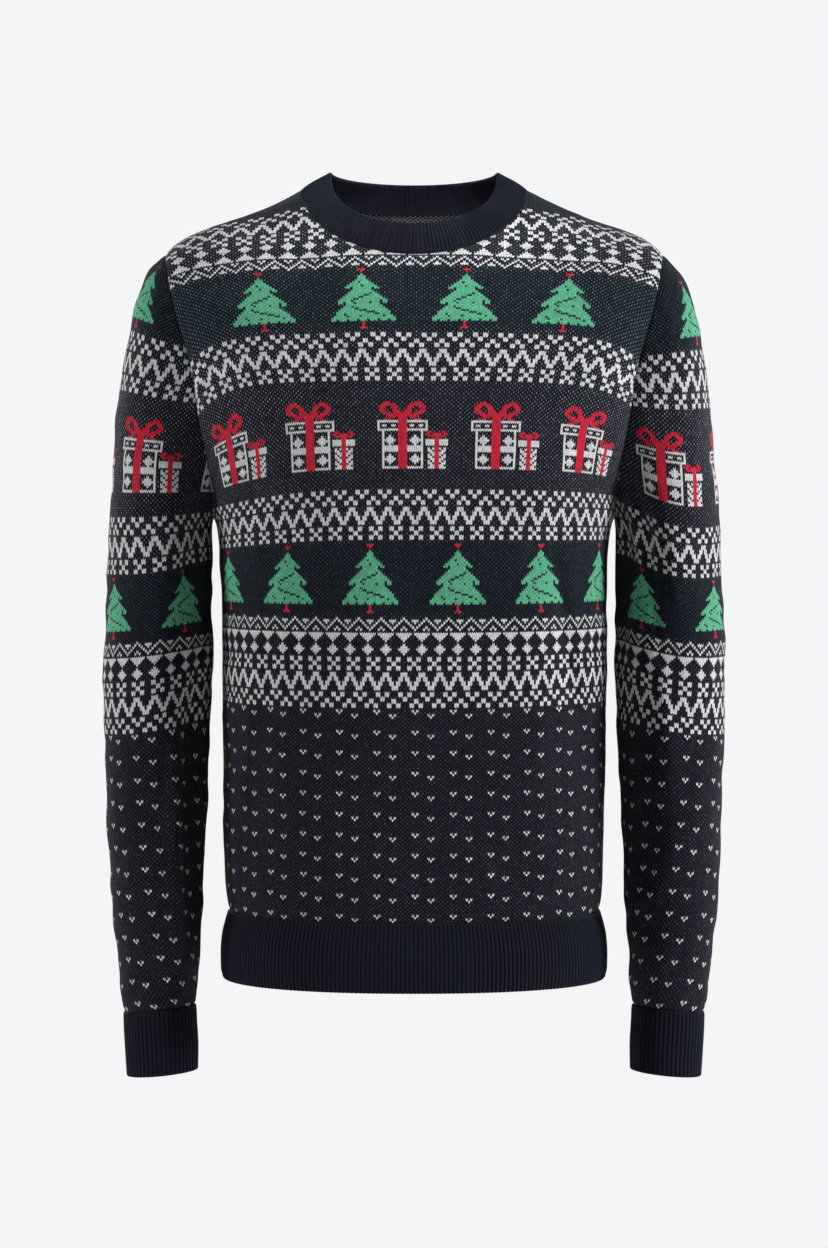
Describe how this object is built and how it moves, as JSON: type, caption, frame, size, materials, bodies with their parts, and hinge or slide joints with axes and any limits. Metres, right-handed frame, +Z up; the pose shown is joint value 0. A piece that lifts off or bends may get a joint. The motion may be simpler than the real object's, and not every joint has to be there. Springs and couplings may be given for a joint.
{
  "type": "men's crew-neck knitted sweater, worn form",
  "caption": "Hollow long-sleeved jacquard knit sweater with ribbed neckband, cuffs and hem, filled out as worn, with trees, presents and fair isle bands.",
  "frame": {"origin": "between the shoulders, level with the neck ends of the shoulder seams, where the wearer holds the sweater up", "axes": "+Z up, the front faces -Y, +X towards the sleeve on the right as seen from the front"},
  "size_m": [0.535, 0.2506, 0.7774],
  "materials": {
    "jacquard": "matte jacquard knit, dark navy ground with off-white, green and red figures",
    "ribbing": "matte dark navy ribbed knit"
  },
  "bodies": {
    "root": {"front_panel": "jacquard", "back_panel": "jacquard", "left_sleeve": "jacquard", "right_sleeve": "jacquard", "neckband": "ribbing", "hem_rib": "ribbing", "left_cuff": "ribbing", "right_cuff": "ribbing"}
  },
  "joints": []
}
